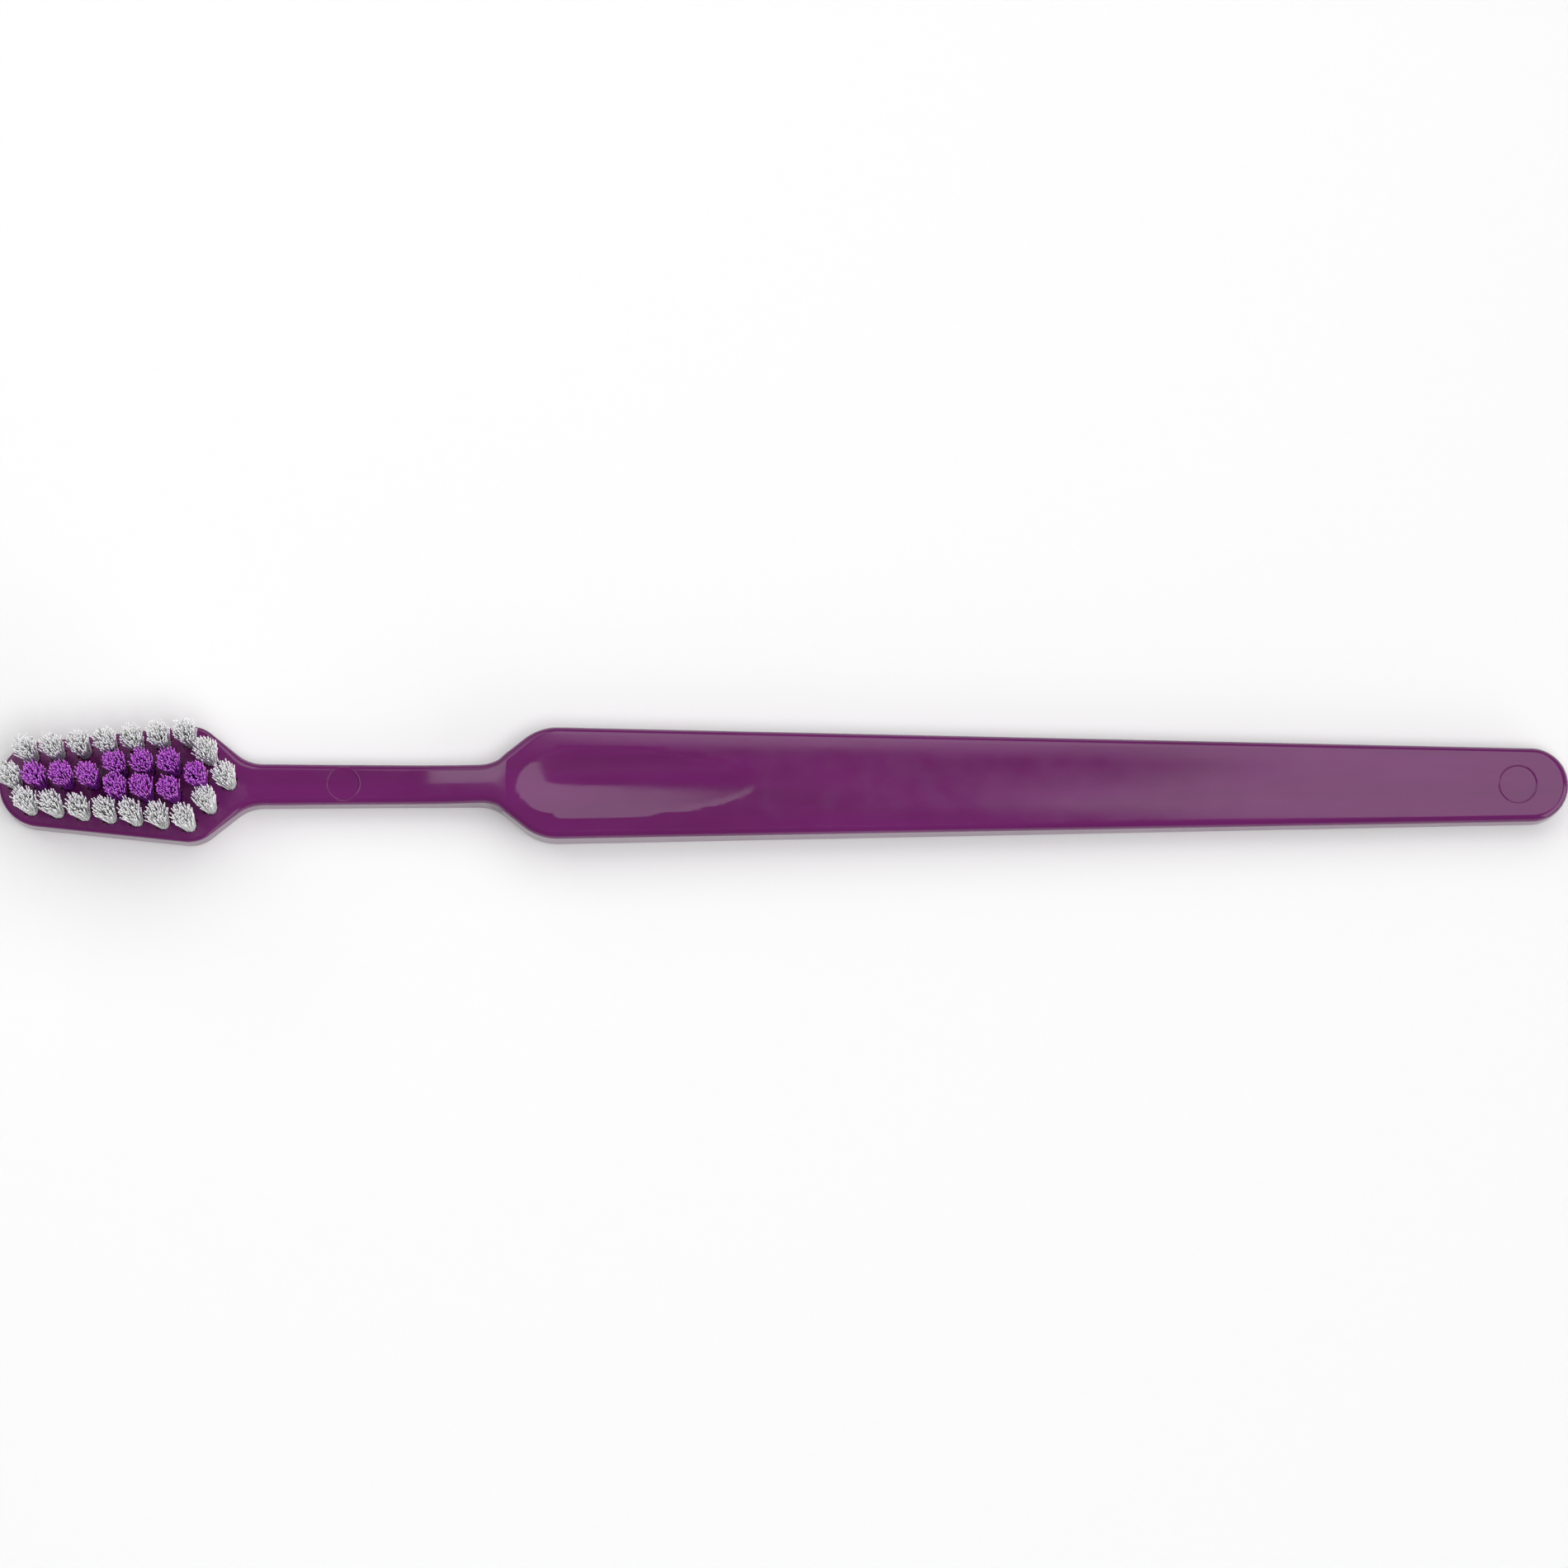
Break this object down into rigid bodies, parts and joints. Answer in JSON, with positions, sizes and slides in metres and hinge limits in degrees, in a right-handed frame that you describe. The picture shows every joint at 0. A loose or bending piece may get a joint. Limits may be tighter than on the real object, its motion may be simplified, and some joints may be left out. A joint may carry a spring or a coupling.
{
  "type": "manual toothbrush",
  "caption": "Manual toothbrush with a tapered diamond head of white and purple nylon tufts, a slim neck and a wide glossy purple grip with a thumb hollow",
  "frame": {"origin": "on the flat back, under the middle of the brush's bounding box", "axes": "X along the brush with the head at -X and the end of the grip at +X; Z from the back to the trimmed ends of the tufts; Y across the brush"},
  "size_m": [0.19, 0.0142, 0.0146],
  "materials": {
    "handle_plastic": "opaque purple polypropylene, glossy as moulded",
    "white_nylon": "drawn white nylon filaments, slightly translucent",
    "purple_nylon": "drawn purple nylon filaments, slightly translucent",
    "anchor_brass": "bare flat brass strip, sheared to length"
  },
  "bodies": {
    "root": {"handle": "handle_plastic", "white_tuft_tip": "white_nylon", "white_tuft_left_1": "white_nylon", "white_tuft_right_1": "white_nylon", "white_tuft_left_2": "white_nylon", "white_tuft_right_2": "white_nylon", "white_tuft_left_3": "white_nylon", "white_tuft_right_3": "white_nylon", "white_tuft_left_4": "white_nylon", "white_tuft_right_4": "white_nylon", "white_tuft_left_5": "white_nylon", "white_tuft_right_5": "white_nylon", "white_tuft_left_6": "white_nylon", "white_tuft_right_6": "white_nylon", "white_tuft_left_7": "white_nylon", "white_tuft_right_7": "white_nylon", "white_tuft_left_8": "white_nylon", "white_tuft_right_8": "white_nylon", "white_tuft_heel": "white_nylon", "purple_tuft_axis_1": "purple_nylon", "purple_tuft_axis_2": "purple_nylon", "purple_tuft_axis_3": "purple_nylon", "purple_tuft_axis_4": "purple_nylon", "purple_tuft_left_1": "purple_nylon", "purple_tuft_right_1": "purple_nylon", "purple_tuft_left_2": "purple_nylon", "purple_tuft_right_2": "purple_nylon", "purple_tuft_left_3": "purple_nylon", "purple_tuft_right_3": "purple_nylon", "anchor_plates": "anchor_brass"}
  },
  "joints": []
}
